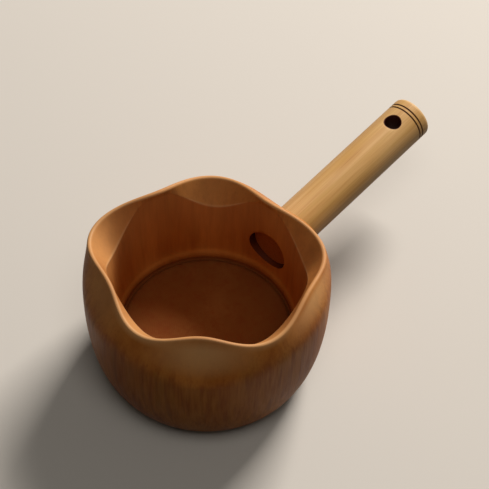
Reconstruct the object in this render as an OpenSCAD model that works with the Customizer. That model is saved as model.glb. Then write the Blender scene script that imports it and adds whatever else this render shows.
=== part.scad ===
// Bamboo water ladle: a thick turned bowl with a five-lobed rim, and a straight handle let into its wall.
// Millimetres, +Z up. The origin is the middle of the foot on the table, and the handle leaves along +X.

/* [Bowl] */
// Height from the table to the highest point of the rim
bowl_h = 85; // [74:1:120]
// Radius of the belly at its widest
belly_r = 64; // [61:0.5:80]
// Height of the belly's widest ring above the table
belly_z = 60; // [45:1:64]
// How squarely the lower belly turns down to the foot
belly_fullness = 2.35; // [2:0.05:3]
// Radius of the flat foot
foot_r = 44.5; // [38:0.5:52]
// Radius of the inside wall at its foot, just above the floor
inside_r = 48; // [44:0.2:50]
// How much wider the inside wall is at the rim than at its foot
inside_draft = 1; // [0:0.1:3]
// Height of the floor inside the bowl above the table
floor_z = 22.5; // [18:0.5:25]

/* [Rim] */
// Mean radius of the mouth, to the middle of the lip
mouth_r = 54.4; // [52:0.2:58]
// Thickness of the rounded lip
lip_t = 2.8; // [2:0.1:3.6]
// How far each lobe stands out from the mean mouth
lobe_out = 3.7; // [1:0.1:5]
// How far the rim drops from a valley to a lobe
lobe_drop = 4.7; // [0:0.1:7]
// Turn from the handle to the first lobe, in degrees
lobe_turn = 40; // [30:0.5:42]
// Slope of the hollow cut inside each lobe, from upright, in degrees
flare_angle = 40; // [30:1:50]
// Slope of the scoop cut outside each valley, from upright, in degrees
scoop_lean = 38; // [34:1:44]
// How far the natural culm's oval makes the mouth stand out past its mean radius
oval_out = 3.2; // [0:0.1:4]
// Direction of the oval's long way, in degrees from the handle
oval_turn = 117.6; // [90:0.2:150]
// Depth of the slow unevenness left by hand carving
waver_out = 1.4; // [0:0.1:2]
// Direction of the hand carving's first crest, in degrees from the handle
waver_turn = 33; // [0:1:90]

/* [Floor] */
// How far the node's ridge stands in from the wall, just above the floor
ridge_in = 1.6; // [0.5:0.1:2.5]
// Height of the node's ridge above the floor
ridge_z = 3.2; // [2.5:0.1:4]
// Width of the groove round the floor
groove_w = 2.2; // [1:0.1:3]
// Depth of the groove round the floor
groove_d = 0.9; // [0.3:0.1:1.5]
// Radius of the hollow under the foot
recess_r = 33; // [20:0.5:36]
// Depth of the hollow under the foot
recess_h = 9; // [3:0.5:11]

/* [Handle] */
// Diameter of the handle
handle_d = 24.2; // [18:0.2:27]
// Length of the rod, from its end in the bowl to its tip
handle_l = 117.3; // [90:0.1:180]
// Height at which the handle's axis, carried inwards, meets the bowl's axis
handle_z = 41.4; // [39:0.2:46]
// Rise of the handle towards its tip, in degrees
handle_rise = 4.8; // [0:0.2:8]
// Bevel round the handle's tip
tip_bevel = 1.4; // [0.5:0.1:2.5]
// Bevel round the handle's end in the bowl
heel_bevel = 0.3; // [0.1:0.1:0.8]
// Distance from the tip to the first turned groove
line_from_tip = 5.6; // [4:0.1:7]
// Distance between the two turned grooves
line_gap = 2.3; // [1.8:0.1:3]
// Width of each turned groove
line_w = 0.9; // [0.5:0.1:1.4]
// Depth of each turned groove
line_d = 0.45; // [0.2:0.05:0.8]
// Diameter of the hanging hole
hole_d = 9; // [5:0.1:10]
// Distance from the tip to the middle of the hanging hole
hole_from_tip = 17.7; // [17:0.1:24]

/* [Fits] */
// Radial gap between the handle and its mortise
mortise_gap = 0.05; // [0.02:0.01:0.2]
// How far the handle's end lies back from the inside wall, at the top of the mortise
heel_back = 1.5; // [0:0.1:3]

/* [Hidden] */
$fn = 96;

lobes = 5;
around = 120;        // steps round the bowl
belly_steps = 14;    // rings from the foot up to the widest ring
shoulder_steps = 10; // rings from the widest ring up to the lip
lip_steps = 4;
flare_steps = 3;
wall_steps = 4;
waves = 4;           // waves of the hand carving's unevenness in one round
lobe_bulge = 0.5;    // share of the shoulder's height up to which it stays full under a lobe
bend_pull = 2;       // how tightly the shoulder bends from the belly to the scoop
blend_in = 0.4;      // where the ridge leaves the wall, as a share of how far it stands in
blend_up = 1.5;      // and how high that is, in heights of the ridge
ridge_slope = 0.1;   // share of the groove's width over which the ridge drops to the floor's level
groove_side = 0.3;   // share of the groove's width taken by each of its sloping sides
over = 1;            // overshoot of a cutter past the face that it cuts

lip_r = lip_t / 2;
foot_of_wall = floor_z + 2 * ridge_z;
handle_r = handle_d / 2;
mortise_r = handle_r + mortise_gap;
mortise_top = handle_z + inside_r * tan(handle_rise) + handle_r / cos(handle_rise);
heel_s = (wall_r(0, mortise_top) + handle_r * sin(handle_rise)) / cos(handle_rise) + heel_back;
tip_s = heel_s + handle_l;

bamboo_bowl = [0.66, 0.42, 0.2];
bamboo_handle = [0.85, 0.66, 0.4];

// How much of a lobe there is in one direction: 1 at a lobe's tip and 0 in the middle of a valley
function lobe_at(a) = (1 + cos(lobes * (a - lobe_turn))) / 2;
function oval_at(a) = oval_out * cos(2 * (a - oval_turn));

// The rim's line seen from above, and its height
function rim_r(a) = mouth_r
    + lobe_out * (2 * lobe_at(a) - 1)
    + oval_at(a)
    + waver_out * cos(waves * (a - waver_turn));
function rim_z(a) = bowl_h - lobe_drop * lobe_at(a);

// Middle of the lip's round, as [radius, height]
function lip_c(a) = [rim_r(a), rim_z(a) - lip_r];

// The inside wall: round at its foot, and as oval as the culm by the time it reaches the rim,
// or just as narrow as a valley that stands in further than that
function wall_top(a) = min(inside_r + inside_draft + oval_at(a), rim_r(a) - lip_r);
function wall_out(a) = (wall_top(a) - inside_r) / (lip_c(a)[1] - foot_of_wall);
function wall_r(a, z) = inside_r + wall_out(a) * (z - foot_of_wall);

// Lower belly: a superellipse quarter from the foot's edge up to just under the widest ring
function belly_at(t) = [
    foot_r + (belly_r - foot_r) * pow(sin(90 * t), 2 / belly_fullness),
    belly_z * (1 - pow(cos(90 * t), 2 / belly_fullness))
];
function belly() = [for (k = [0:belly_steps - 1]) belly_at(k / belly_steps)];

// Shoulder: from the widest ring it leaves upright, bends, and meets the lip's round as a tangent.
// Under a valley the bend lies where the scoop comes out of the belly.
function shoulder_z(a) =
    let (lobe = belly_z + lobe_bulge * (lip_c(a)[1] - belly_z),
         valley = max(belly_z, lip_c(a)[1] - (belly_r - lip_c(a)[0]) / tan(scoop_lean)))
    valley + (lobe - valley) * lobe_at(a);
function shoulder_lean(a) =
    let (in = belly_r - lip_c(a)[0], up = lip_c(a)[1] - shoulder_z(a))
    acos(lip_r / norm([in, up])) - atan2(up, in);
function lip_at(a, turn) = lip_c(a) + lip_r * [cos(turn), sin(turn)];
function bent(p, q, s, t) =
    let (from = (1 - t) * (1 - t), over_bend = 2 * bend_pull * t * (1 - t), to = t * t)
    (from * p + over_bend * q + to * s) / (from + over_bend + to);
function shoulder(a) =
    let (low = [belly_r, belly_z], bend = [belly_r, shoulder_z(a)], top = lip_at(a, shoulder_lean(a)))
    [for (k = [0:shoulder_steps - 1]) bent(low, bend, top, k / shoulder_steps)];

// Inside: the hollow of a lobe runs down at flare_angle until it meets the inside wall
function flare_foot(a) =
    let (out = rim_r(a) - lip_r - wall_top(a),
         z = lip_c(a)[1] - lip_r - out / (tan(flare_angle) - wall_out(a)))
    [wall_r(a, z), z];
function flare_lean(a) =
    let (out = lip_c(a)[0] - flare_foot(a)[0], up = lip_c(a)[1] - flare_foot(a)[1])
    atan2(out, up) - asin(lip_r / norm([out, up]));
function lip(a) =
    let (from = shoulder_lean(a), to = 180 - flare_lean(a))
    [for (k = [0:lip_steps]) lip_at(a, from + (to - from) * k / lip_steps)];
function flare(a) =
    let (top = lip_at(a, 180 - flare_lean(a)), low = flare_foot(a))
    [for (k = [1:flare_steps]) top + (low - top) * k / flare_steps];
function wall(a) =
    let (top = flare_foot(a), low = [inside_r, foot_of_wall])
    [for (k = [1:wall_steps]) top + (low - top) * k / wall_steps];

// The node left as the floor: a soft ridge, then a groove, then the flat floor
ridge_r = inside_r - ridge_in;
function node_ring() = [
    [inside_r - ridge_in * blend_in, floor_z + ridge_z * blend_up],
    [ridge_r, floor_z + ridge_z],
    [ridge_r - groove_w * ridge_slope, floor_z],
    [ridge_r - groove_w * (ridge_slope + groove_side), floor_z - groove_d],
    [ridge_r - groove_w * (1 - groove_side), floor_z - groove_d],
    [ridge_r - groove_w, floor_z]
];

function profile(a) = concat(belly(), shoulder(a), lip(a), flare(a), wall(a), node_ring());

module carved_body() {
    rings = len(profile(0));
    skin = [for (i = [0:around - 1])
        let (a = 360 * i / around)
        for (p = profile(a)) [p[0] * cos(a), p[0] * sin(a), p[1]]];
    sides = [for (i = [0:around - 1], j = [0:rings - 2])
        let (k = (i + 1) % around,
             p = i * rings + j, q = k * rings + j)
        each norm(skin[p] - skin[q + 1]) < norm(skin[p + 1] - skin[q])
            ? [[p, p + 1, q + 1], [p, q + 1, q]]
            : [[p, p + 1, q], [p + 1, q + 1, q]]];
    under = [for (i = [0:around - 1]) i * rings];
    floor_face = [for (i = [around - 1:-1:0]) i * rings + rings - 1];
    polyhedron(points = skin, faces = concat(sides, [under, floor_face]), convexity = 10);
}

// Carries its children to the handle's own axis, which then runs along the children's Z
module on_handle_axis() {
    translate([0, 0, handle_z])
        rotate([0, 90 - handle_rise, 0])
            children();
}

module mortise() {
    on_handle_axis()
        translate([0, 0, inside_r - handle_r])
            cylinder(r = mortise_r, h = belly_r - inside_r + handle_d);
}

module foot_recess() {
    translate([0, 0, -over])
        cylinder(r = recess_r, h = recess_h + over);
}

module bowl() {
    color(bamboo_bowl)
        difference() {
            carved_body();
            mortise();
            foot_recess();
        }
}

// Half outline of one turned groove, cut square to the handle's axis
module line_cut(from_tip) {
    translate([handle_r, tip_s - from_tip])
        polygon([[-line_d, 0], [over, -line_w / 2 * (1 + over / line_d)], [over, line_w / 2 * (1 + over / line_d)]]);
}

module handle_outline() {
    difference() {
        polygon([
            [0, heel_s],
            [handle_r - heel_bevel, heel_s],
            [handle_r, heel_s + heel_bevel],
            [handle_r, tip_s - tip_bevel],
            [handle_r - tip_bevel, tip_s],
            [0, tip_s]
        ]);
        for (from_tip = [line_from_tip, line_from_tip + line_gap])
            line_cut(from_tip);
    }
}

module hanging_hole() {
    translate([0, 0, tip_s - hole_from_tip])
        rotate([0, 90, 0])
            cylinder(d = hole_d, h = handle_d + 2 * over, center = true);
}

module handle() {
    color(bamboo_handle)
        on_handle_axis()
            difference() {
                rotate_extrude()
                    handle_outline();
                hanging_hole();
            }
}

bowl();
handle();
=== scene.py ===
import math

import bpy
from mathutils import Matrix, Vector


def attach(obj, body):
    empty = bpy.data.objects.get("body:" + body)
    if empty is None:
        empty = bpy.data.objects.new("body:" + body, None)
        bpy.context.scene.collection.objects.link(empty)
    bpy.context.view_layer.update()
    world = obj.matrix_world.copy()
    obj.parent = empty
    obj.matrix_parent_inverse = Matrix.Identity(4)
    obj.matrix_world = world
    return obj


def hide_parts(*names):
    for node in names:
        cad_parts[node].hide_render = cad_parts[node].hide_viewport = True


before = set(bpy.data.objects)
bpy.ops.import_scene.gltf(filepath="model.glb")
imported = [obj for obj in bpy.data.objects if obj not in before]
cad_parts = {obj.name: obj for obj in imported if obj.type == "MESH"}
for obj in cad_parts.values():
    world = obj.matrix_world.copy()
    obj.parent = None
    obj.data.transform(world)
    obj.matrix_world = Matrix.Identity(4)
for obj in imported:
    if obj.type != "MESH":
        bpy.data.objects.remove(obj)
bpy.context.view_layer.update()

mm = 0.001
poleRadius = 2     # mm, the narrow ring that starts or ends a turned piece, later merged to a point
touching = 0.02    # mm, places this close count as the same


# small helpers

def startClean():
    if bpy.context.object and bpy.context.object.mode != "OBJECT":
        bpy.ops.object.mode_set(mode="OBJECT")
    bpy.ops.object.select_all(action="DESELECT")


def pick(piece):
    startClean()
    piece.select_set(True)
    bpy.context.view_layer.objects.active = piece


def applyModifier(piece, kind, **settings):
    pick(piece)
    modifier = piece.modifiers.new(kind.title(), kind)
    for name, value in settings.items():
        setattr(modifier, name, value)
    bpy.ops.object.modifier_apply(modifier=modifier.name)


def smoothStep(low, high, value):
    t = min(max((value - low) / (high - low), 0.0), 1.0)
    return t * t * (3 - 2 * t)


def between(start, end, share):
    return tuple(s + (e - s) * share for s, e in zip(start, end))


def cosine(degrees):
    return math.cos(math.radians(degrees))


def sine(degrees):
    return math.sin(math.radians(degrees))


def tangent(degrees):
    return math.tan(math.radians(degrees))


# turning: a ring is drawn out and widened step by step, as a lathe profile

def turnRings(name, rings, around):
    # rings are (radius, height) in mm; the first and last are closed to a point on the axis later
    startClean()
    radius, height = rings[0]
    bpy.ops.mesh.primitive_circle_add(vertices=around, radius=radius * mm, location=(0, 0, height * mm))
    piece = bpy.context.object
    piece.name = name
    bpy.ops.object.transform_apply(location=True, rotation=True, scale=True)
    bpy.ops.object.mode_set(mode="EDIT")
    bpy.ops.mesh.select_mode(type="EDGE")
    bpy.ops.mesh.select_all(action="SELECT")
    for nextRadius, nextHeight in rings[1:]:
        rise = (nextHeight - height) * mm
        bpy.ops.mesh.extrude_edges_move(TRANSFORM_OT_translate={"value": (0, 0, rise)})
        wider = nextRadius / radius
        bpy.ops.transform.resize(value=(wider, wider, 1), center_override=(0, 0, nextHeight * mm))
        radius, height = nextRadius, nextHeight
    bpy.ops.object.mode_set(mode="OBJECT")
    return piece


def closeEnds(piece, around):
    # the first and the last ring are each merged to one point
    for end in ("first", "last"):
        pick(piece)
        bpy.ops.object.mode_set(mode="EDIT")
        bpy.ops.mesh.select_all(action="DESELECT")
        bpy.ops.object.mode_set(mode="OBJECT")
        start = 0 if end == "first" else len(piece.data.vertices) - around
        for vertex in piece.data.vertices[start:start + around]:
            vertex.select = True
        bpy.ops.object.mode_set(mode="EDIT")
        bpy.ops.mesh.select_mode(type="VERT")
        bpy.ops.mesh.merge(type="CENTER")
        bpy.ops.mesh.select_all(action="SELECT")
        bpy.ops.mesh.normals_make_consistent(inside=False)
        bpy.ops.object.mode_set(mode="OBJECT")


def markRings(piece, name, around, amounts):
    # a value on the skin for the material to read, from ring number to amount
    mark = piece.data.attributes.new(name, "FLOAT", "POINT")
    for index in range(len(piece.data.vertices)):
        mark.data[index].value = amounts.get(index // around, 0.0)


# drilling

def cutAway(piece, cutter, matrix, doubled=0.01, sliver=0.004):
    # takes the cutter, laid along the matrix's Z axis, out of the piece, and clears up after the cut
    cutter.data.transform(matrix)
    applyModifier(piece, "BOOLEAN", object=cutter, operation="DIFFERENCE", solver="EXACT")
    bpy.data.objects.remove(cutter)
    pick(piece)
    bpy.ops.object.mode_set(mode="EDIT")
    bpy.ops.mesh.select_all(action="SELECT")
    bpy.ops.mesh.remove_doubles(threshold=doubled * mm)
    bpy.ops.mesh.dissolve_degenerate(threshold=sliver * mm)
    bpy.ops.object.mode_set(mode="OBJECT")


def roundDrill(diameter, start, end, around):
    startClean()
    bpy.ops.mesh.primitive_cylinder_add(vertices=around, radius=diameter / 2 * mm, depth=(end - start) * mm,
                                        location=(0, 0, (start + end) / 2 * mm))
    bpy.ops.object.transform_apply(location=True, rotation=True, scale=True)
    return bpy.context.object


def giveMaterial(piece, slot, matrix, belongs):
    # faces whose corners all pass the test take the material slot; the test gets mm along the matrix's axes
    back = matrix.inverted()
    for face in piece.data.polygons:
        if all(belongs(back @ piece.data.vertices[vertex].co / mm) for vertex in face.vertices):
            face.material_index = slot


def fromAxis(spot):
    return math.hypot(spot.x, spot.y)


# the bowl

bowlSizes = {
    "height": 85,            # table to the top of the rim
    "bellyRadius": 64,
    "bellyHeight": 60,
    "bellyFullness": 2.35,   # how squarely the belly turns down to the foot
    "footRadius": 44.5,
    "insideRadius": 48,      # just above the floor
    "insideDraft": 1,
    "floorHeight": 22.5,
    "mouthRadius": 54.4,
    "lipThickness": 2.8,
    "lobes": 5,
    "lobeOut": 3.7,
    "lobeDrop": 4.7,
    "lobeTurn": 40,
    "flareAngle": 40,
    "ovalOut": 3.2,
    "ovalTurn": 117.6,
    "waverOut": 1.4,
    "waverTurn": 33,
    "scoopLean": 38,         # slope of the scoop outside each valley, from upright
    "lobeBulge": 0.5,        # share of the shoulder's height up to which it stays full under a lobe
    "bendPull": 2,           # how tightly the shoulder bends
    "ridgeIn": 1.6,
    "ridgeHeight": 3.2,
    "grooveWidth": 2.2,
    "grooveDepth": 0.9,
    "recessRadius": 33,
    "recessDepth": 9,
    "recessCorner": 2.5,
    "footSoftening": 1.2,
    "hollowCrease": 0.75,    # sharpness of the edge where a lobe's hollow meets the inside wall
    "around": 160,
    "smoothAngle": 38,       # edges sharper than this stay hard
}


def lobeAt(turn):
    # 1 at a lobe's tip, 0 in the middle of a valley
    return (1 + cosine(bowlSizes["lobes"] * (turn - bowlSizes["lobeTurn"]))) / 2


def ovalAt(turn):
    return bowlSizes["ovalOut"] * cosine(2 * (turn - bowlSizes["ovalTurn"]))


def rimRadius(turn):
    lobe = bowlSizes["lobeOut"] * (2 * lobeAt(turn) - 1)
    waver = bowlSizes["waverOut"] * cosine(4 * (turn - bowlSizes["waverTurn"]))
    return bowlSizes["mouthRadius"] + lobe + ovalAt(turn) + waver


def lipCentre(turn):
    top = bowlSizes["height"] - bowlSizes["lobeDrop"] * lobeAt(turn)
    return rimRadius(turn), top - bowlSizes["lipThickness"] / 2


def footOfWall():
    return bowlSizes["floorHeight"] + 2 * bowlSizes["ridgeHeight"]


def wallTop(turn):
    fromCulm = bowlSizes["insideRadius"] + bowlSizes["insideDraft"] + ovalAt(turn)
    return min(fromCulm, rimRadius(turn) - bowlSizes["lipThickness"] / 2)


def wallSlope(turn):
    return (wallTop(turn) - bowlSizes["insideRadius"]) / (lipCentre(turn)[1] - footOfWall())


def wallRadius(turn, height):
    return bowlSizes["insideRadius"] + wallSlope(turn) * (height - footOfWall())


def flareFoot(turn):
    # where the hollow inside a lobe runs out into the wall
    lip = bowlSizes["lipThickness"] / 2
    radius, height = lipCentre(turn)
    out = radius - lip - wallTop(turn)
    height -= lip + out / (tangent(bowlSizes["flareAngle"]) - wallSlope(turn))
    return wallRadius(turn, height), height


def hollowDepth(turn):
    # how far the hollow of a lobe reaches down from the lip: nothing in a valley
    return lipCentre(turn)[1] - flareFoot(turn)[1]


def shoulderBend(turn):
    # under a valley the bend lies where the scoop comes out of the belly
    belly, low = bowlSizes["bellyRadius"], bowlSizes["bellyHeight"]
    radius, height = lipCentre(turn)
    lobe = low + bowlSizes["lobeBulge"] * (height - low)
    valley = max(low, height - (belly - radius) / tangent(bowlSizes["scoopLean"]))
    return belly, valley + (lobe - valley) * lobeAt(turn)


def shoulderLean(turn):
    # where the line from the bend touches the round of the lip
    inwards = bowlSizes["bellyRadius"] - lipCentre(turn)[0]
    upwards = lipCentre(turn)[1] - shoulderBend(turn)[1]
    reach = math.hypot(inwards, upwards)
    return math.degrees(math.acos(bowlSizes["lipThickness"] / 2 / reach) - math.atan2(upwards, inwards))


def flareLean(turn):
    out = lipCentre(turn)[0] - flareFoot(turn)[0]
    up = lipCentre(turn)[1] - flareFoot(turn)[1]
    reach = math.hypot(out, up)
    return math.degrees(math.atan2(out, up) - math.asin(bowlSizes["lipThickness"] / 2 / reach))


def lipPoint(turn, swing):
    radius, height = lipCentre(turn)
    half = bowlSizes["lipThickness"] / 2
    return radius + half * cosine(swing), height + half * sine(swing)


def undersideRings():
    # a shallow round recess, so that the bowl stands on a ring
    wide, deep = bowlSizes["recessRadius"], bowlSizes["recessDepth"]
    corner, soft = bowlSizes["recessCorner"], bowlSizes["footSoftening"]
    recess = [(poleRadius, deep), (wide * 0.5, deep), (wide - corner, deep),
              (wide - corner * 0.4, deep - corner * 0.16), (wide - corner * 0.12, deep - corner * 0.6),
              (wide, deep * 0.5)]
    stand = [(wide, soft), (wide + soft * 0.25, soft * 0.25), (wide + soft, 0),
             ((wide + bowlSizes["footRadius"]) / 2, 0)]
    return recess + stand


def bellyRings(steps=18):
    # from the foot up to the widest place
    foot, belly = bowlSizes["footRadius"], bowlSizes["bellyRadius"]
    power = 2 / bowlSizes["bellyFullness"]
    rings = []
    for step in range(steps):
        swing = 90 * step / steps
        out = sine(swing) ** power
        up = 1 - cosine(swing) ** power
        rings.append((foot + (belly - foot) * out, bowlSizes["bellyHeight"] * up))
    return rings


def shoulderRings(turn, steps=14):
    # a curve from the belly to the lip, drawn towards the bend
    corners = ((bowlSizes["bellyRadius"], bowlSizes["bellyHeight"]), shoulderBend(turn),
               lipPoint(turn, shoulderLean(turn)))
    rings = []
    for step in range(steps):
        t = step / steps
        pulls = ((1 - t) ** 2, 2 * bowlSizes["bendPull"] * t * (1 - t), t ** 2)
        place = [sum(pull * corner[axis] for pull, corner in zip(pulls, corners)) for axis in (0, 1)]
        rings.append((place[0] / sum(pulls), place[1] / sum(pulls)))
    return rings


def lipRings(turn, steps=6):
    start, end = shoulderLean(turn), 180 - flareLean(turn)
    return [lipPoint(turn, start + (end - start) * step / steps) for step in range(steps + 1)]


def flareRings(turn):
    # the last two steps are short, so that the edge where the hollow meets the wall stays crisp
    top, low = lipPoint(turn, 180 - flareLean(turn)), flareFoot(turn)
    return [between(top, low, share) for share in (0.22, 0.45, 0.7, 0.93, 1)]


def wallRings(turn):
    # the first step is short for the same reason
    top, low = flareFoot(turn), (bowlSizes["insideRadius"], footOfWall())
    return [between(top, low, share) for share in (0.02, 0.12, 0.27, 0.42, 0.57, 0.72, 0.87, 1)]


def floorRings():
    # the culm's node, left as the floor: a soft ridge, a turned groove, then the flat
    ridgeIn, ridge = bowlSizes["ridgeIn"], bowlSizes["ridgeHeight"]
    width, deep = bowlSizes["grooveWidth"], bowlSizes["grooveDepth"]
    inner, low = bowlSizes["insideRadius"] - ridgeIn, bowlSizes["floorHeight"]
    rings = [(inner + ridgeIn * out, low + ridge * up) for out, up in ((0.75, 1.6), (0.3, 1.25), (0, 0.9))]
    rings += [(inner - width * across, low + ridge * up) for across, up in ((0.05, 0.5), (0.08, 0.15))]
    rings += [(inner - width * across, low - deep * down)
              for across, down in ((0.15, 0.4), (0.32, 0.85), (0.5, 1), (0.7, 0.8), (0.92, 0.3))]
    rings += [(inner - width * across, low) for across in (1.15, 1.6, 2.2)]
    rings += [(inner * share, low) for share in (0.75, 0.5, 0.25)]
    return rings + [(poleRadius, low)]


def bowlParts(turn):
    # the profile in one direction, from the middle of the underside round to the middle of the floor
    return {"underside": undersideRings(), "belly": bellyRings(), "shoulder": shoulderRings(turn),
            "lip": lipRings(turn), "flare": flareRings(turn), "wall": wallRings(turn),
            "floor": floorRings()}


def bowlRings(turn):
    return [ring for rings in bowlParts(turn).values() for ring in rings]


def firstRingOf(part):
    parts = bowlParts(0)
    before = list(parts)[:list(parts).index(part)]
    return sum(len(parts[name]) for name in before)


def turnOf(place):
    return math.degrees(math.atan2(place.y, place.x))


def carveRim(piece, around):
    # the turned blank has the rim of one direction all round: each direction now gets its own
    for step in range(around):
        turn = turnOf(piece.data.vertices[step].co)
        for ring, (radius, height) in enumerate(bowlRings(turn)):
            place = (radius * mm * cosine(turn), radius * mm * sine(turn), height * mm)
            piece.data.vertices[ring * around + step].co = place


def creaseRing(piece, ring, around, sharpness):
    creases = piece.data.attributes.new("crease_edge", "FLOAT", "EDGE")
    for edge in piece.data.edges:
        if all(vertex // around == ring for vertex in edge.vertices):
            creases.data[edge.index].value = sharpness


# how strongly the bowl's skin shows how it was made, and where painted light and painted shade lie on it,
# from 0 to 1
bowlMarks = {
    "lipSandedAndHighlit": 0.6,
    "edgeSandedAndHighlit": 1.0,               # the edge where a hollow meets the wall
    "edgeComesIn": (3, 9),           # mm of the hollow's depth
    "scoop": 0.6,
    "scoopSwing": 0.5,               # painted light added on one side, and taken off on the other as painted shade
    "scoopSide": -104,               # the direction of the side with the painted light
    "scoopComesIn": (0.42, 0.97),    # share of the way up the shoulder
    "hollow": 0.55,
    # the hollows' painted light and painted shade by side, as for the scoops
    "hollowSwing": 0.25,
    "hollowSide": 175,
    "wall": 0.4,
    "wallFades": 0.8,                # share of the way down the wall
    # oil in the floor's groove, with painted shade laid in with it
    "grooveOilAndShade": 0.55,
    "grooveOilAndShadeRing": 6.7,                  # counted from the top of the ridge, in the groove
    "grooveOilAndShadeReach": 7.5,                 # rings to each side
    "nodeRing": 4,                   # rings on from the top of the ridge, where the node's wood starts
}


def sandAndHighlightEdges(bowl, around):
    # the lip is rubbed paler and carries a painted highlight, and so is the edge of each hollow, which fades
    # out where the hollow gets shallow
    lip, hollow, wall = [firstRingOf(part) for part in ("lip", "flare", "wall")]
    sandedAndHighlit = {ring: bowlMarks["lipSandedAndHighlit"] for ring in range(lip + 1, hollow - 1)}
    sandedAndHighlit[wall - 1] = bowlMarks["edgeSandedAndHighlit"]
    markRings(bowl, "sandedEdgeAndHighlight", around, sandedAndHighlit)
    marks = bowl.data.attributes["sandedEdgeAndHighlight"].data
    for step in range(around):
        deep = hollowDepth(turnOf(bowl.data.vertices[step].co))
        marks[(wall - 1) * around + step].value *= smoothStep(*bowlMarks["edgeComesIn"], deep)


def paleAndLitBySide(turn, cut):
    # a cut's paler share, partly paler wood and partly painted light: painted light is added on one side of
    # the bowl, and painted shade on the other
    return bowlMarks[cut] + bowlMarks[cut + "Swing"] * cosine(turn - bowlMarks[cut + "Side"])


def markCutsAndPaintedLight(bowl, around):
    # the scoops outside the valleys and the hollows inside the lobes are the last cuts, and the palest,
    # partly as paler wood and partly as painted light, and the wall is paler towards the rim, a painted
    # light that fades down the wall
    shoulder, lip, wall, floor = [firstRingOf(part) for part in ("shoulder", "lip", "wall", "floor")]
    markRings(bowl, "paleCutAndPaintedLight", around, {ring: 1.0 for ring in range(shoulder, floor)})
    for index, mark in enumerate(bowl.data.attributes["paleCutAndPaintedLight"].data):
        ring = index // around
        turn = turnOf(bowl.data.vertices[index].co)
        if ring < lip:
            upwards = (ring - shoulder) / (lip - shoulder)
            mark.value *= smoothStep(*bowlMarks["scoopComesIn"], upwards) * (1 - lobeAt(turn))
            mark.value *= paleAndLitBySide(turn, "scoop")
        elif ring < wall:
            mark.value *= paleAndLitBySide(turn, "hollow") * (1 + lobeAt(turn)) / 2
        else:
            downwards = (ring - wall) / (floor - wall)
            mark.value *= bowlMarks["wall"] * (1 - smoothStep(0, bowlMarks["wallFades"], downwards))


def markInside(bowl, around):
    wall, floor, rings = firstRingOf("wall"), firstRingOf("floor"), len(bowlRings(0))
    markRings(bowl, "insideWall", around, {ring: 1.0 for ring in range(wall, rings)})
    markRings(bowl, "nodeFloor", around, {ring: 1.0 for ring in range(floor + bowlMarks["nodeRing"], rings)})
    # the oil, together with a painted shade, lies darkest in the groove and thins out towards the ridge and
    # the floor's middle
    grooveOilAndShade = {}
    for ring in range(floor, rings):
        away = (ring - floor - bowlMarks["grooveOilAndShadeRing"]) / bowlMarks["grooveOilAndShadeReach"]
        grooveOilAndShade[ring] = bowlMarks["grooveOilAndShade"] * max(0.0, 1 - away ** 2)
    markRings(bowl, "pooledOilAndShade", around, grooveOilAndShade)


def drillMortise(bowl):
    # the round hole that the handle is glued into, and its darker wall
    half = handleSizes["diameter"] / 2
    mortise = half + handleSizes["gap"]
    start, end = bowlSizes["insideRadius"] - half, bowlSizes["bellyRadius"] + half
    cutAway(bowl, roundDrill(2 * mortise, start, end, handleSizes["around"]), onHandleAxis())
    bowl.data.materials.append(bambooMaterial("turnedBambooCulm", culmLook))
    bowl.data.materials.append(darkCut("drilledBambooCulm", culmLook, cutLook["mortise"]))
    giveMaterial(bowl, 1, onHandleAxis(),
                 lambda spot: abs(fromAxis(spot) - mortise) < touching and start < spot.z < end)


def makeBowl():
    around = bowlSizes["around"]
    bowl = turnRings("ladleBowl", bowlRings(0), around)
    carveRim(bowl, around)
    creaseRing(bowl, firstRingOf("wall") - 1, around, bowlSizes["hollowCrease"])
    sandAndHighlightEdges(bowl, around)
    markCutsAndPaintedLight(bowl, around)
    markInside(bowl, around)
    closeEnds(bowl, around)
    applyModifier(bowl, "SUBSURF", levels=1, render_levels=1)
    drillMortise(bowl)
    pick(bowl)
    bpy.ops.object.shade_smooth_by_angle(angle=math.radians(bowlSizes["smoothAngle"]))
    return bowl


# the handle

handleSizes = {
    "diameter": 24.2,
    "length": 117.3,
    "axisHeight": 41.4,      # where the axis, carried inwards, meets the bowl's axis
    "rise": 4.8,
    "tipBevel": 1.4,
    "tipHold": 0.6,          # a plain ring this far before the bevel keeps it crisp
    "heelBevel": 0.3,
    "lineFromTip": 5.6,
    "lineGap": 2.3,
    "lineWidth": 0.9,
    "lineDepth": 0.45,
    "lineEdge": 0.12,        # softening to each side of a line
    "holeDiameter": 9,
    "holeFromTip": 17.7,
    "holeSoftening": 0.5,
    "gap": 0.05,
    "heelBack": 1.5,
    "rings": 14,             # plain rings between the heel and the turned lines
    "ringGap": 7.5,
    "around": 128,
    "smoothAngle": 32,
}


def onHandleAxis():
    # takes a thing that runs up the Z axis to the handle's own axis
    lean = math.radians(90 - handleSizes["rise"])
    return Matrix.Translation((0, 0, handleSizes["axisHeight"] * mm)) @ Matrix.Rotation(lean, 4, "Y")


def heelPlace():
    # how far along its axis the handle begins: a little back from where it would be flush with the wall
    half, rise = handleSizes["diameter"] / 2, handleSizes["rise"]
    top = handleSizes["axisHeight"] + bowlSizes["insideRadius"] * tangent(rise) + half / cosine(rise)
    flush = (wallRadius(0, top) + half * sine(rise)) / cosine(rise)
    return flush + handleSizes["heelBack"]


def tipPlace():
    return heelPlace() + handleSizes["length"]


def lineRings(half, middle):
    # one of the two fine lines turned round the tip
    side, deep, edge = handleSizes["lineWidth"] / 2, handleSizes["lineDepth"], handleSizes["lineEdge"]
    oneSide = [(half, side + edge), (half - edge * 2 / 3, side), (half - deep, side * 0.35)]
    before = [(radius, middle - away) for radius, away in oneSide]
    after = [(radius, middle + away) for radius, away in reversed(oneSide)]
    return before + after


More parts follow.
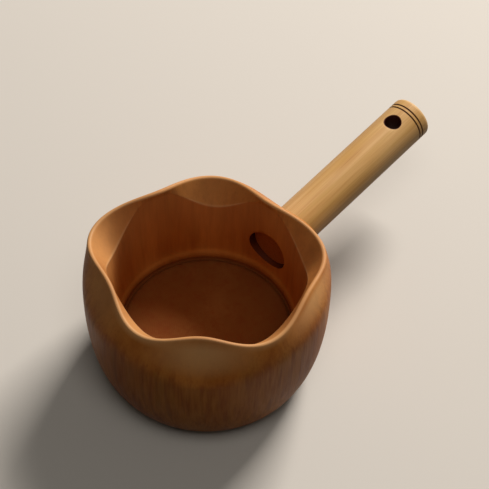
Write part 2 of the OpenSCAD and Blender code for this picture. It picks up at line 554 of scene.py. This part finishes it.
def handleRings():
    half, heel, tip = handleSizes["diameter"] / 2, heelPlace(), tipPlace()
    corner, bevel = handleSizes["heelBevel"], handleSizes["tipBevel"]
    rings = [(poleRadius, heel), (half * 0.6, heel), (half - corner, heel), (half, heel + corner)]
    for step in range(handleSizes["rings"]):
        rings.append((half, heel + handleSizes["ringGap"] * (step + 0.4)))
    rings += lineRings(half, tip - handleSizes["lineFromTip"] - handleSizes["lineGap"])
    rings += lineRings(half, tip - handleSizes["lineFromTip"])
    rings.append((half, tip - bevel - handleSizes["tipHold"]))
    rings += [(half - bevel * inwards, tip - bevel * back)
              for inwards, back in ((0.06, 0.85), (0.32, 0.36), (0.9, 0.03), (1.3, 0))]
    return rings + [(half * 0.5, tip), (poleRadius, tip)]


# the same for the handle's skin, from 0 to 1; the bevel's share is partly a painted highlight
handleMarks = {"bevelSandedAndHighlit": 0.7, "lineOiled": 0.95}


def markHandle(handle, around):
    # the bevel at the tip is rubbed pale and carries a painted highlight, and dark oil stays in the turned
    # lines
    half, bevel = handleSizes["diameter"] / 2, handleSizes["tipBevel"]
    heelEnd, bevelStart = heelPlace() + handleSizes["heelBevel"], tipPlace() - bevel
    sandedAndHighlit, oiled = {}, {}
    for ring, (radius, along) in enumerate(handleRings()):
        if along > bevelStart and radius > half - 2 * bevel:
            sandedAndHighlit[ring] = handleMarks["bevelSandedAndHighlit"]
        if heelEnd < along < bevelStart and radius < half - handleSizes["lineEdge"] / 2:
            oiled[ring] = handleMarks["lineOiled"]
    markRings(handle, "sandedEdgeAndHighlight", around, sandedAndHighlit)
    markRings(handle, "pooledOilAndShade", around, oiled)


def holeDrill(around=64, steps=4, standsOut=2):
    # a drill that also rubs the hole's edges round: it widens just under the skin of the handle
    half, hole = handleSizes["diameter"] / 2, handleSizes["holeDiameter"] / 2
    soft, outside = handleSizes["holeSoftening"], half + standsOut
    upper = [(poleRadius, outside), (hole + soft, outside)]
    for step in range(steps + 1):
        swing = 90 * step / steps
        upper.append((hole + soft * (1 - sine(swing)), half - soft * (1 - cosine(swing))))
    lower = [(radius, -height) for radius, height in upper]
    drill = turnRings("holeDrill", lower + upper[::-1], around)
    for vertex in drill.data.vertices:
        # the skin falls away to both sides of the handle, and the widening follows it
        if abs(vertex.co.z) < (half + touching) * mm:
            falls = half * mm - math.sqrt((half * mm) ** 2 - vertex.co.y ** 2)
            vertex.co.z -= math.copysign(falls, vertex.co.z)
    closeEnds(drill, around)
    return drill


def drillHangingHole(handle):
    # straight through near the tip; the hole's wall and softened edges are dark, and so is the sawn heel
    along = Matrix.Translation((0, 0, (tipPlace() - handleSizes["holeFromTip"]) * mm))
    across = onHandleAxis() @ along @ Matrix.Rotation(math.radians(-90), 4, "Y")
    cutAway(handle, holeDrill(), across)
    handle.data.materials.append(bambooMaterial("turnedBambooRod", rodLook))
    handle.data.materials.append(darkCut("drilledBambooRod", rodLook, cutLook["hangingHole"]))
    handle.data.materials.append(darkCut("sawnBambooRod", rodLook, cutLook["heel"]))
    hole = handleSizes["holeDiameter"] / 2 + handleSizes["holeSoftening"] + touching
    heel = heelPlace() + handleSizes["heelBevel"] + touching
    giveMaterial(handle, 1, across, lambda spot: fromAxis(spot) < hole)
    giveMaterial(handle, 2, onHandleAxis(), lambda spot: spot.z < heel)


def makeHandle():
    around = handleSizes["around"]
    handle = turnRings("ladleHandle", handleRings(), around)
    markHandle(handle, around)
    closeEnds(handle, around)
    handle.data.transform(onHandleAxis())
    drillHangingHole(handle)
    pick(handle)
    bpy.ops.object.shade_smooth_by_angle(angle=math.radians(handleSizes["smoothAngle"]))
    return handle


# materials

def linearColour(hexCode):
    channels = [int(hexCode[i:i + 2], 16) / 255 for i in (1, 3, 5)]
    return tuple(c / 12.92 if c <= 0.04045 else ((c + 0.055) / 1.055) ** 2.4 for c in channels) + (1,)


def addNode(tree, kind, settings=None, links=None):
    # settings name a property or an input; links name an input and the socket that feeds it
    node = tree.nodes.new(kind)
    for name, value in (settings or {}).items():
        if isinstance(name, int) or name in node.inputs:
            node.inputs[name].default_value = value
        else:
            setattr(node, name, value)
    for name, socket in (links or {}).items():
        tree.links.new(socket, node.inputs[name])
    return node


# Bamboo culm: amber wood of fine straight fibres, with darker strands that run up the culm. A wall cut
# along the culm shows the strands as streaks, and one cut across it shows them as dots. It is turned,
# sanded and oiled, so it has a soft satin shine, and the oil gathers dark in the grooves. Painted light is
# laid on the cuts, the rim and the edges, and painted shade on the floor and in its groove.
culmLook = {
    "light": "#c27c38",
    "middle": "#ac6424",
    "deep": "#803c0e",
    "olive": "#8f601f",
    "oliveShare": 0.45,
    "strand": "#6b2c08",
    # the colour of sanded edges, which also serves as a painted highlight on the lip, the hollows' edges and
    # the tip's bevel
    "edge": "#e6bd8c",
    "edgeShare": 0.4,
    # paler cut wood, which also serves as painted light on the scoops, the hollows and the upper inside wall
    "paleCutAndLitTone": "#ddb07a",
    "paleCutAndLitShare": 0.55,
    # dark oil in grooves, which in the floor's groove is also painted shade
    "oilAndShadeTone": "#451502",
    "oilAndShadeShare": 0.85,
    # the floor's darker tone, partly the node's own wood and partly painted shade
    "floorToneAndShade": "#63300e",
    "floorToneAndShadeShare": 0.65,
    "cloudSize": 4,        # mm, the short cloudy fibres of the node
    "cloudShare": 0.6,
    "toolGap": 0.982,      # mm between the fine rings that the turning tool leaves on the floor
    "toolShare": 0.16,
    "strandGap": 1.5,      # mm between dark strands, drawn a little coarser than the real 1 mm
    "strandLength": 34,    # mm
    "strandCut": 0.27,     # radius of a strand as a share of the gap
    "strandShare": 0.26,
    "fibreGap": 0.9,
    "fibreLength": 20,
    "fibreShare": 0.24,
    "bandWidth": 3.4,
    "bandLength": 36,
    "bandShare": 0.5,
    "patchSize": 24,
    "cutAcross": 0.3,      # how much of the bands' contrast is left where the surface cuts across them
    "dotShare": 0.55,      # the same for the strands, which show there as dots
    "insideShare": 0.4,    # the inner layers of the culm are plainer than the outer ones
    "roughness": 0.5,
    "rougher": 0.2,        # added where oil has pooled and on the floor
    "shine": 0.16,         # Specular IOR Level
    "bump": 0.04,          # mm
    "turnY": 0,
}

# Bamboo rod: the same wood, paler and cleaner, with its fibres along the handle
# its edge colour on the tip's bevel is partly a painted highlight
rodLook = dict(
    culmLook, light="#d9b380", middle="#c89b5a", deep="#ab783a", olive="#be9851", strand="#8c511c",
    edge="#ecd0a4", paleCutAndLitShare=0.0, strandGap=1.3, strandLength=60, strandCut=0.2, strandShare=0.35,
    fibreGap=0.6, fibreLength=34, fibreShare=0.35, bandWidth=2.2, bandLength=90, bandShare=0.3,
    patchSize=30, dotShare=3.0, shine=0.27, turnY=90 - handleSizes["rise"])

# A sawn or drilled cut into the fibres: it drinks the oil, so it is dark, red-brown and dull
cutLook = {
    "mortise": "#5a240a",
    "hangingHole": "#4a1703",
    "heel": "#98541f",
    "deep": "#2f0e02",
    "strand": "#2a0c02",
    "roughness": 0.62,
}


def fibreScale(across, along):
    # makes a pattern fine across the fibres and long along them, from real sizes in mm
    return 1 / (across * mm), 1 / (across * mm), 1 / (along * mm)


def smoothly(low, high, toLow, toHigh):
    # how a value between low and high is turned into a share, without a hard start or end
    return {"interpolation_type": "SMOOTHSTEP", "From Min": low, "From Max": high,
            "To Min": toLow, "To Max": toHigh}


def woodPatterns(tree, look, place):
    # mm across the fibres, mm along them, detail and roughness
    noises = {
        "patch": (look["patchSize"], look["patchSize"] * 2.5, 2.0, 0.5),
        "hue": (look["bandWidth"] * 2.3, look["bandLength"] * 1.4, 2.0, 0.5),
        "band": (look["bandWidth"], look["bandLength"], 2.0, 0.5),
        "fibre": (look["fibreGap"], look["fibreLength"], 3.0, 0.6),
        "cloud": (look["cloudSize"], look["cloudSize"], 4.0, 0.65),
    }
    patterns = {}
    for name, (across, along, detail, roughness) in noises.items():
        drawnOut = addNode(tree, "ShaderNodeVectorMath",
                           {"operation": "MULTIPLY", 1: fibreScale(across, along)}, {0: place})
        noise = addNode(tree, "ShaderNodeTexNoise", {"Scale": 1.0, "Detail": detail, "Roughness": roughness},
                        {"Vector": drawnOut.outputs[0]})
        patterns[name] = noise.outputs["Fac"]
    # the turning tool's rings: Blender's wave repeats every pi / 10 of its scaled length
    rings = addNode(tree, "ShaderNodeTexWave",
                    {"wave_type": "RINGS", "rings_direction": "Z", "Distortion": 1.2, "Detail": 2.0,
                     "Detail Scale": 0.4, "Scale": math.pi / 10 / (look["toolGap"] * mm)}, {"Vector": place})
    patterns["rings"] = rings.outputs["Fac"]
    return patterns


def strandStrength(tree, look, place, slant, plainer):
    # dark strands, each with its own strength: streaks along the culm, and dots where it is cut across
    drawnOut = addNode(tree, "ShaderNodeVectorMath",
                       {"operation": "MULTIPLY", 1: fibreScale(look["strandGap"], look["strandLength"])},
                       {0: place})
    cells = addNode(tree, "ShaderNodeTexVoronoi", {"Scale": 1.0, "Randomness": 1.0},
                    {"Vector": drawnOut.outputs[0]})
    each = addNode(tree, "ShaderNodeSeparateColor", {}, {"Color": cells.outputs["Color"]}).outputs[0]
    cut = look["strandCut"]
    strength = plainer
    for source, settings in ((cells.outputs["Distance"], smoothly(cut * 0.4, cut * 1.5, 1.0, 0.0)),
                             (each, smoothly(0.3, 1.0, 0.08, look["strandShare"])),
                             (slant, smoothly(0.2, 0.7, 1.0, look["dotShare"]))):
        share = addNode(tree, "ShaderNodeMapRange", settings, {"Value": source})
        both = {0: strength, 1: share.outputs[0]}
        strength = addNode(tree, "ShaderNodeMath", {"operation": "MULTIPLY"}, both).outputs[0]
    return strength


def layOver(tree, colour, tint, mark, share, pattern=None, reach=None):
    # lays a tint over the colour where the mark is strong, and a pattern keeps it to its own strong places
    if pattern is None:
        amount = addNode(tree, "ShaderNodeMath", {"operation": "MULTIPLY", 1: share}, {0: mark}).outputs[0]
    else:
        strong = addNode(tree, "ShaderNodeMapRange", smoothly(*reach, 0, share), {"Value": pattern})
        both = {0: mark, 1: strong.outputs[0]}
        amount = addNode(tree, "ShaderNodeMath", {"operation": "MULTIPLY"}, both).outputs[0]
    return addNode(tree, "ShaderNodeMix", {"data_type": "RGBA", 7: linearColour(tint)},
                   {0: amount, 6: colour}).outputs[2]


def woodColour(tree, look, patterns, marks, shown, strands):
    # broad patches, then bands along the culm, some of them greener, then the fibres and the strands
    patch = addNode(tree, "ShaderNodeMapRange", smoothly(0.3, 0.7, 0, 1), {"Value": patterns["patch"]})
    colour = addNode(tree, "ShaderNodeMix",
                     {"data_type": "RGBA", 6: linearColour(look["light"]), 7: linearColour(look["middle"])},
                     {0: patch.outputs[0]}).outputs[2]
    colour = layOver(tree, colour, look["olive"], shown, look["oliveShare"], patterns["hue"], (0.5, 0.75))
    colour = layOver(tree, colour, look["deep"], shown, look["bandShare"], patterns["band"], (0.4, 0.7))
    colour = layOver(tree, colour, look["deep"], shown, look["fibreShare"], patterns["fibre"], (0.38, 0.72))
    colour = layOver(tree, colour, look["strand"], strands, 1.0)
    # the last cuts go across the fibres, so they are paler, and painted light and painted shade are laid on
    # them too
    colour = layOver(tree, colour, look["paleCutAndLitTone"], marks["paleCutAndPaintedLight"], look["paleCutAndLitShare"])
    # the node left as the floor has cloudy, short fibres and the turning tool's fine rings, and a darker
    # tone that is partly its own and partly painted shade
    node = marks["nodeFloor"]
    colour = layOver(tree, colour, look["floorToneAndShade"], node, look["floorToneAndShadeShare"])
    colour = layOver(tree, colour, look["deep"], node, look["cloudShare"], patterns["cloud"], (0.4, 0.75))
    colour = layOver(tree, colour, look["strand"], node, look["toolShare"], patterns["rings"], (0.5, 1))
    # oil gathers in grooves, with painted shade in the floor's groove, and edges rubbed by sanding are
    # paler, with a painted highlight
    colour = layOver(tree, colour, look["oilAndShadeTone"], marks["pooledOilAndShade"], look["oilAndShadeShare"])
    return layOver(tree, colour, look["edge"], marks["sandedEdgeAndHighlight"], look["edgeShare"])


def bambooMaterial(name, look):
    material = bpy.data.materials.new(name)
    material.use_nodes = True
    tree = material.node_tree
    tree.nodes.clear()
    marks = {}
    for mark in ("insideWall", "paleCutAndPaintedLight", "nodeFloor", "pooledOilAndShade", "sandedEdgeAndHighlight"):
        marks[mark] = addNode(tree, "ShaderNodeAttribute", {"attribute_name": mark}).outputs["Fac"]

    # the fibres run up the Z axis of the patterns, whichever way the piece lies
    coords = addNode(tree, "ShaderNodeTexCoord")
    turn = (0, math.radians(-look["turnY"]), 0)
    place = addNode(tree, "ShaderNodeMapping", {"vector_type": "POINT", "Rotation": turn},
                    {"Vector": coords.outputs["Object"]}).outputs[0]
    facing = addNode(tree, "ShaderNodeMapping", {"vector_type": "NORMAL", "Rotation": turn},
                     {"Vector": coords.outputs["Normal"]}).outputs[0]

    # streaks show in full on a wall along the culm, and fade where it is cut across and inside the bowl
    alongCulm = addNode(tree, "ShaderNodeSeparateXYZ", {}, {"Vector": facing}).outputs["Z"]
    slant = addNode(tree, "ShaderNodeMath", {"operation": "ABSOLUTE"}, {0: alongCulm}).outputs[0]
    plainer = addNode(tree, "ShaderNodeMapRange", smoothly(0, 1, 1.0, look["insideShare"]),
                      {"Value": marks["insideWall"]}).outputs[0]
    uncut = addNode(tree, "ShaderNodeMapRange", smoothly(0.2, 0.65, 1.0, look["cutAcross"]),
                    {"Value": slant}).outputs[0]
    shown = addNode(tree, "ShaderNodeMath", {"operation": "MULTIPLY"}, {0: uncut, 1: plainer}).outputs[0]

    patterns = woodPatterns(tree, look, place)
    strands = strandStrength(tree, look, place, slant, plainer)
    colour = woodColour(tree, look, patterns, marks, shown, strands)

    # the strands lie a little lower than the fibres, and oil and the floor's cloudy wood are duller
    height = addNode(tree, "ShaderNodeMath", {"operation": "SUBTRACT"}, {0: patterns["fibre"], 1: strands})
    bump = addNode(tree, "ShaderNodeBump", {"Strength": 0.6, "Distance": look["bump"] * mm},
                   {"Height": height.outputs[0]})
    rough = addNode(tree, "ShaderNodeMapRange",
                    smoothly(0.3, 0.7, look["roughness"] - 0.04, look["roughness"] + 0.06),
                    {"Value": patterns["fibre"]}).outputs[0]
    for mark in ("pooledOilAndShade", "nodeFloor"):
        rough = addNode(tree, "ShaderNodeMath", {"operation": "MULTIPLY_ADD", 1: look["rougher"]},
                        {0: marks[mark], 2: rough}).outputs[0]
    skin = addNode(tree, "ShaderNodeBsdfPrincipled", {"IOR": 1.5, "Specular IOR Level": look["shine"]},
                   {"Base Color": colour, "Roughness": rough, "Normal": bump.outputs[0]})
    addNode(tree, "ShaderNodeOutputMaterial", {}, {"Surface": skin.outputs[0]})
    return material


def darkCut(name, look, tone):
    return bambooMaterial(name, dict(look, light=tone, middle=tone, olive=tone, deep=cutLook["deep"],
                                     strand=cutLook["strand"], roughness=cutLook["roughness"],
                                     paleCutAndLitShare=0.0))


# the room: a pale floor, soft lamps and the photograph's camera

cameraPlace = {
    "target": (12.4, -14.0, 96.6),   # mm, where the middle of the picture looks
    "distance": 900,
    "azimuth": -138.5,               # degrees from +X to the camera
    "elevation": 53,
    "roll": 1.76,
    "focalPixels": 1800,
    "imageWidth": 489,
    "sensorWidth": 36,
    "seesTo": 20,                    # m
}


def direction(azimuth, elevation):
    return Vector((cosine(elevation) * cosine(azimuth), cosine(elevation) * sine(azimuth), sine(elevation)))


def lookingBack(away):
    return (-away).to_track_quat("-Z", "Y").to_matrix().to_4x4()


def makeCamera():
    data = bpy.data.cameras.new("photoCamera")
    data.sensor_width = cameraPlace["sensorWidth"]
    data.lens = cameraPlace["focalPixels"] * data.sensor_width / cameraPlace["imageWidth"]
    data.clip_end = cameraPlace["seesTo"]
    camera = bpy.data.objects.new("photoCamera", data)
    bpy.context.scene.collection.objects.link(camera)
    away = direction(cameraPlace["azimuth"], cameraPlace["elevation"])
    spot = (Vector(cameraPlace["target"]) + away * cameraPlace["distance"]) * mm
    roll = Matrix.Rotation(math.radians(cameraPlace["roll"]), 4, "Z")
    camera.matrix_world = Matrix.Translation(spot) @ lookingBack(away) @ roll
    bpy.context.scene.camera = camera


floorLook = {
    "seen": "#d3d0cb",
    "thrownBack": "#3c3a38",
    "roughness": 0.9,
    "size": 8,            # m
}


def makeFloor():
    startClean()
    bpy.ops.mesh.primitive_plane_add(size=floorLook["size"], location=(0, 0, 0))
    floor = bpy.context.object
    floor.name = "paleFloor"
    # pale to the eye and in reflections, but a plainer grey for the light that it throws up at the ladle
    material = bpy.data.materials.new("paleFloor")
    material.use_nodes = True
    tree = material.node_tree
    skin = tree.nodes["Principled BSDF"]
    skin.inputs["Roughness"].default_value = floorLook["roughness"]
    path = addNode(tree, "ShaderNodeLightPath")
    seen = path.outputs["Is Camera Ray"]
    for ray in ("Is Glossy Ray", "Is Transmission Ray"):
        either = addNode(tree, "ShaderNodeMath", {"operation": "MAXIMUM"}, {0: seen, 1: path.outputs[ray]})
        seen = either.outputs[0]
    thrownBack, pale = linearColour(floorLook["thrownBack"]), linearColour(floorLook["seen"])
    tone = addNode(tree, "ShaderNodeMix", {"data_type": "RGBA", 6: thrownBack, 7: pale}, {0: seen})
    tree.links.new(tone.outputs[2], skin.inputs["Base Color"])
    floor.data.materials.append(material)


# distance and size in metres
lamps = {
    "softKey": {"azimuth": 11, "elevation": 40, "distance": 2.2, "size": 0.8, "watts": 61,
                "colour": "#fff6ec"},
    "softTop": {"azimuth": 235, "elevation": 72, "distance": 1.5, "size": 0.6, "watts": 3.6,
                "colour": "#fffaf2"},
}
roomLight = {"colour": "#f4e8d8", "strength": 0.065}


def makeLamps():
    for name, lamp in lamps.items():
        data = bpy.data.lights.new(name, "AREA")
        data.shape = "SQUARE"
        data.size = lamp["size"]
        data.energy = lamp["watts"]
        data.color = linearColour(lamp["colour"])[:3]
        light = bpy.data.objects.new(name, data)
        bpy.context.scene.collection.objects.link(light)
        away = direction(lamp["azimuth"], lamp["elevation"])
        light.matrix_world = Matrix.Translation(away * lamp["distance"]) @ lookingBack(away)
    world = bpy.data.worlds.new("paleRoom")
    bpy.context.scene.world = world
    world.use_nodes = True
    background = world.node_tree.nodes["Background"]
    background.inputs["Color"].default_value = linearColour(roomLight["colour"])
    background.inputs["Strength"].default_value = roomLight["strength"]


# putting it together

bpy.context.scene.view_settings.view_transform = "Standard"
makeCamera()
makeFloor()
makeLamps()
print("room, lamps and camera are set")

bowl = makeBowl()
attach(bowl, "root")
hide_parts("bowl")
print("bowl is turned and carved:", len(bowl.data.polygons), "faces")

handle = makeHandle()
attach(handle, "root")
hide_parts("handle")
print("handle is turned and drilled:", len(handle.data.polygons), "faces")
